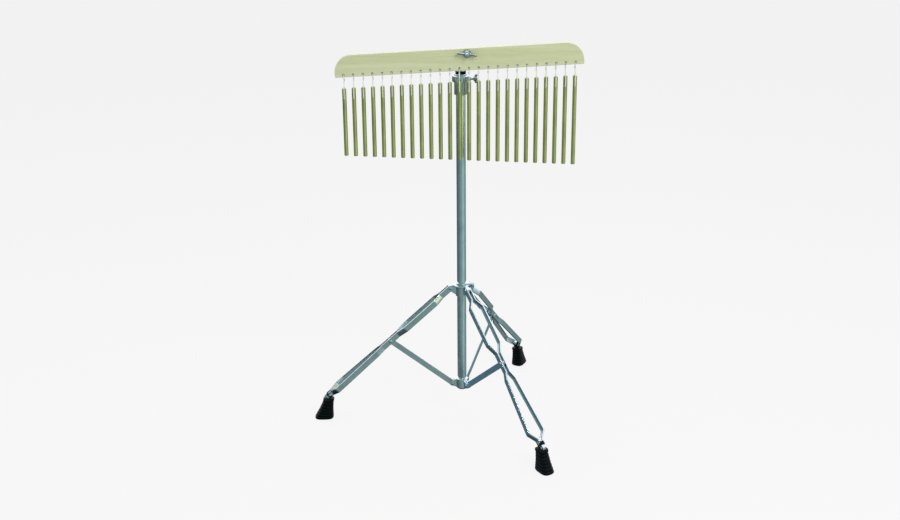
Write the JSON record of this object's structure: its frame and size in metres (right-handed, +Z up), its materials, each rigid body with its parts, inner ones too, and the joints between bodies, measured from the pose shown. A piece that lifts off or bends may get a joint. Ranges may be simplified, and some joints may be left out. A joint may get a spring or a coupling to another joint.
{
  "type": "bar chimes on folding stand",
  "caption": "Row of graduated solid metal chime bars on cord loops under a wooden mantle board, clamped to the rod of a telescoping, folding tripod stand.",
  "frame": {"origin": "centre of the object's footprint on the floor, with the tripod open and the mast at its lowest", "axes": "+Z up, +X along the mantle board towards its long chimes, -Y towards the player's side where the wing nut is"},
  "size_m": [0.6522, 0.655, 0.9447],
  "materials": {
    "tube_chrome": "bright chrome plate on drawn tube",
    "cast_chrome": "chrome plate on a die casting, slightly soft edges",
    "strap_chrome": "chrome plate on pressed steel strap",
    "hardware_chrome": "bright chrome hardware",
    "rivet_steel": "plated steel rivets",
    "black_plastic": "moulded black nylon",
    "foot_rubber": "ribbed black rubber",
    "pad_rubber": "matt rubber disc",
    "board_wood": "clear satin lacquer on pale, straight-grained hardwood",
    "cord_nylon": "white laid nylon cord",
    "chime_metal": "polished and tinted olive gold"
  },
  "bodies": {
    "base": {"base_tube": "tube_chrome", "tube_end_plug": "black_plastic", "height_clamp": "cast_chrome", "clamp_bushing": "black_plastic", "brace_collar": "cast_chrome", "brace_pins": "rivet_steel"},
    "clamp_screw": {"clamp_wing_screw": "hardware_chrome"},
    "collar": {"leg_collar": "cast_chrome"},
    "collar_screw": {"collar_wing_screw": "hardware_chrome"},
    "mast": {"inner_tube": "tube_chrome", "mantle_rod": "hardware_chrome"},
    "swivel_clamp": {"mantle_clamp": "cast_chrome", "mantle_bolt": "hardware_chrome"},
    "wing_nut": {"mantle_wing_nut": "hardware_chrome"},
    "mantle": {"mantle_board": "board_wood", "mantle_pad": "pad_rubber", "mantle_washer": "hardware_chrome"},
    "leg_a": {"leg_a_left_strap": "strap_chrome", "leg_a_right_strap": "strap_chrome", "leg_a_rivets": "rivet_steel", "leg_a_foot_stem": "rivet_steel", "leg_a_foot": "foot_rubber"},
    "brace_a": {"brace_a": "strap_chrome"},
    "leg_b": {"leg_b_left_strap": "strap_chrome", "leg_b_right_strap": "strap_chrome", "leg_b_rivets": "rivet_steel", "leg_b_foot_stem": "rivet_steel", "leg_b_foot": "foot_rubber"},
    "brace_b": {"brace_b": "strap_chrome"},
    "leg_c": {"leg_c_left_strap": "strap_chrome", "leg_c_right_strap": "strap_chrome", "leg_c_rivets": "rivet_steel", "leg_c_foot_stem": "rivet_steel", "leg_c_foot": "foot_rubber"},
    "brace_c": {"brace_c": "strap_chrome"},
    "chime_01": {"chime_01": "chime_metal"},
    "chime_02": {"chime_02": "chime_metal"},
    "chime_03": {"chime_03": "chime_metal"},
    "chime_04": {"chime_04": "chime_metal"},
    "chime_05": {"chime_05": "chime_metal"},
    "chime_06": {"chime_06": "chime_metal"},
    "chime_07": {"chime_07": "chime_metal"},
    "chime_08": {"chime_08": "chime_metal"},
    "chime_09": {"chime_09": "chime_metal"},
    "chime_10": {"chime_10": "chime_metal"},
    "chime_11": {"chime_11": "chime_metal"},
    "chime_12": {"chime_12": "chime_metal"},
    "chime_13": {"chime_13": "chime_metal"},
    "chime_14": {"chime_14": "chime_metal"},
    "chime_15": {"chime_15": "chime_metal"},
    "chime_16": {"chime_16": "chime_metal"},
    "chime_17": {"chime_17": "chime_metal"},
    "chime_18": {"chime_18": "chime_metal"},
    "chime_19": {"chime_19": "chime_metal"},
    "chime_20": {"chime_20": "chime_metal"},
    "chime_21": {"chime_21": "chime_metal"},
    "chime_22": {"chime_22": "chime_metal"},
    "chime_23": {"chime_23": "chime_metal"},
    "chime_24": {"chime_24": "chime_metal"},
    "chime_25": {"chime_25": "chime_metal"}
  },
  "joints": [
    {"name": "height_slide", "type": "slide", "parent": "base", "child": "mast", "axis": [0, 0, 1], "range_m": [0, 0.35]},
    {"name": "clamp_screw_turn", "type": "hinge", "parent": "base", "child": "clamp_screw", "pos_m": [0.046, -0.0067, 0.858], "axis": [1, 0, 0], "continuous": true},
    {"name": "collar_slide", "type": "slide", "parent": "base", "child": "collar", "axis": [0, 0, 1], "range_m": [0, 0.1367]},
    {"name": "collar_screw_turn", "type": "hinge", "parent": "collar", "child": "collar_screw", "pos_m": [0.046, -0.0067, 0.3505], "axis": [0.9993, 0.0384, 0], "continuous": true},
    {"name": "leg_a_hinge", "type": "hinge", "parent": "collar", "child": "leg_a", "pos_m": [0.01802, -0.00777, 0.344], "axis": [0.0384, -0.9993, 0], "range_deg": [0, 40.5]},
    {"name": "brace_a_hinge", "type": "hinge", "parent": "base", "child": "brace_a", "pos_m": [0.02122, -0.00765, 0.0883], "axis": [-0.0384, 0.9993, 0], "range_deg": [0, 43.9]},
    {"name": "leg_b_hinge", "type": "hinge", "parent": "collar", "child": "leg_b", "pos_m": [0.06092, -0.03039, 0.344], "axis": [0.8462, 0.5329, 0], "range_deg": [0, 40.5]},
    {"name": "brace_b_hinge", "type": "hinge", "parent": "base", "child": "brace_b", "pos_m": [0.05921, -0.02769, 0.0883], "axis": [-0.8462, -0.5329, 0], "range_deg": [0, 43.9]},
    {"name": "leg_c_hinge", "type": "hinge", "parent": "collar", "child": "leg_c", "pos_m": [0.05906, 0.01807, 0.344], "axis": [-0.8846, 0.4664, 0], "range_deg": [0, 40.5]},
    {"name": "brace_c_hinge", "type": "hinge", "parent": "base", "child": "brace_c", "pos_m": [0.05757, 0.01524, 0.0883], "axis": [0.8846, -0.4664, 0], "range_deg": [0, 43.9]},
    {"name": "clamp_swivel", "type": "hinge", "parent": "mast", "child": "swivel_clamp", "pos_m": [0.046, -0.0067, 0.9195], "axis": [0, 0, 1], "range_deg": [-195, 15]},
    {"name": "mantle_tilt", "type": "hinge", "parent": "swivel_clamp", "child": "mantle", "pos_m": [0.06, -0.0387, 0.9215], "axis": [0, 1, 0], "range_deg": [-15, 15]},
    {"name": "wing_nut_turn", "type": "hinge", "parent": "swivel_clamp", "child": "wing_nut", "pos_m": [0.06, -0.0527, 0.9215], "axis": [0, -1, 0], "continuous": true},
    {"name": "chime_01_swing", "type": "hinge", "parent": "mantle", "child": "chime_01", "pos_m": [-0.22098, -0.0387, 0.876], "axis": [0, 1, 0], "range_deg": [-2.5, 2.5]},
    {"name": "chime_02_swing", "type": "hinge", "parent": "mantle", "child": "chime_02", "pos_m": [-0.199, -0.0387, 0.87707], "axis": [0, 1, 0], "range_deg": [-2.5, 2.5]},
    {"name": "chime_03_swing", "type": "hinge", "parent": "mantle", "child": "chime_03", "pos_m": [-0.17703, -0.0387, 0.87815], "axis": [0, 1, 0], "range_deg": [-2.5, 2.5]},
    {"name": "chime_04_swing", "type": "hinge", "parent": "mantle", "child": "chime_04", "pos_m": [-0.15506, -0.0387, 0.87922], "axis": [0, 1, 0], "range_deg": [-2.5, 2.5]},
    {"name": "chime_05_swing", "type": "hinge", "parent": "mantle", "child": "chime_05", "pos_m": [-0.13308, -0.0387, 0.8803], "axis": [0, 1, 0], "range_deg": [-2.5, 2.5]},
    {"name": "chime_06_swing", "type": "hinge", "parent": "mantle", "child": "chime_06", "pos_m": [-0.11111, -0.0387, 0.88137], "axis": [0, 1, 0], "range_deg": [-2.5, 2.5]},
    {"name": "chime_07_swing", "type": "hinge", "parent": "mantle", "child": "chime_07", "pos_m": [-0.08914, -0.0387, 0.88245], "axis": [0, 1, 0], "range_deg": [-2.5, 2.5]},
    {"name": "chime_08_swing", "type": "hinge", "parent": "mantle", "child": "chime_08", "pos_m": [-0.06716, -0.0387, 0.88352], "axis": [0, 1, 0], "range_deg": [-2.5, 2.5]},
    {"name": "chime_09_swing", "type": "hinge", "parent": "mantle", "child": "chime_09", "pos_m": [-0.04519, -0.0387, 0.88459], "axis": [0, 1, 0], "range_deg": [-2.5, 2.5]},
    {"name": "chime_10_swing", "type": "hinge", "parent": "mantle", "child": "chime_10", "pos_m": [-0.02321, -0.0387, 0.88567], "axis": [0, 1, 0], "range_deg": [-2.5, 2.5]},
    {"name": "chime_11_swing", "type": "hinge", "parent": "mantle", "child": "chime_11", "pos_m": [-0.00124, -0.0387, 0.88674], "axis": [0, 1, 0], "range_deg": [-2.5, 2.5]},
    {"name": "chime_12_swing", "type": "hinge", "parent": "mantle", "child": "chime_12", "pos_m": [0.02073, -0.0387, 0.88782], "axis": [0, 1, 0], "range_deg": [-2.5, 2.5]},
    {"name": "chime_13_swing", "type": "hinge", "parent": "mantle", "child": "chime_13", "pos_m": [0.04271, -0.0387, 0.88889], "axis": [0, 1, 0], "range_deg": [-2.5, 2.5]},
    {"name": "chime_14_swing", "type": "hinge", "parent": "mantle", "child": "chime_14", "pos_m": [0.06468, -0.0387, 0.88997], "axis": [0, 1, 0], "range_deg": [-2.5, 2.5]},
    {"name": "chime_15_swing", "type": "hinge", "parent": "mantle", "child": "chime_15", "pos_m": [0.08665, -0.0387, 0.89104], "axis": [0, 1, 0], "range_deg": [-2.5, 2.5]},
    {"name": "chime_16_swing", "type": "hinge", "parent": "mantle", "child": "chime_16", "pos_m": [0.10863, -0.0387, 0.89212], "axis": [0, 1, 0], "range_deg": [-2.5, 2.5]},
    {"name": "chime_17_swing", "type": "hinge", "parent": "mantle", "child": "chime_17", "pos_m": [0.1306, -0.0387, 0.89319], "axis": [0, 1, 0], "range_deg": [-2.5, 2.5]},
    {"name": "chime_18_swing", "type": "hinge", "parent": "mantle", "child": "chime_18", "pos_m": [0.15258, -0.0387, 0.89427], "axis": [0, 1, 0], "range_deg": [-2.5, 2.5]},
    {"name": "chime_19_swing", "type": "hinge", "parent": "mantle", "child": "chime_19", "pos_m": [0.17455, -0.0387, 0.89534], "axis": [0, 1, 0], "range_deg": [-2.5, 2.5]},
    {"name": "chime_20_swing", "type": "hinge", "parent": "mantle", "child": "chime_20", "pos_m": [0.19652, -0.0387, 0.89642], "axis": [0, 1, 0], "range_deg": [-2.5, 2.5]},
    {"name": "chime_21_swing", "type": "hinge", "parent": "mantle", "child": "chime_21", "pos_m": [0.2185, -0.0387, 0.89749], "axis": [0, 1, 0], "range_deg": [-2.5, 2.5]},
    {"name": "chime_22_swing", "type": "hinge", "parent": "mantle", "child": "chime_22", "pos_m": [0.24047, -0.0387, 0.89856], "axis": [0, 1, 0], "range_deg": [-2.5, 2.5]},
    {"name": "chime_23_swing", "type": "hinge", "parent": "mantle", "child": "chime_23", "pos_m": [0.26244, -0.0387, 0.89964], "axis": [0, 1, 0], "range_deg": [-2.5, 2.5]},
    {"name": "chime_24_swing", "type": "hinge", "parent": "mantle", "child": "chime_24", "pos_m": [0.28442, -0.0387, 0.90071], "axis": [0, 1, 0], "range_deg": [-2.5, 2.5]},
    {"name": "chime_25_swing", "type": "hinge", "parent": "mantle", "child": "chime_25", "pos_m": [0.30639, -0.0387, 0.90179], "axis": [0, 1, 0], "range_deg": [-2.5, 2.5]}
  ],
  "couplings": [
    {"joint": "leg_a_hinge", "follows": "collar_slide", "rad_per_m": 5.107},
    {"joint": "brace_a_hinge", "follows": "collar_slide", "rad_per_m": 5.5379},
    {"joint": "leg_b_hinge", "follows": "collar_slide", "rad_per_m": 5.107},
    {"joint": "brace_b_hinge", "follows": "collar_slide", "rad_per_m": 5.5379},
    {"joint": "leg_c_hinge", "follows": "collar_slide", "rad_per_m": 5.107},
    {"joint": "brace_c_hinge", "follows": "collar_slide", "rad_per_m": 5.5379}
  ]
}
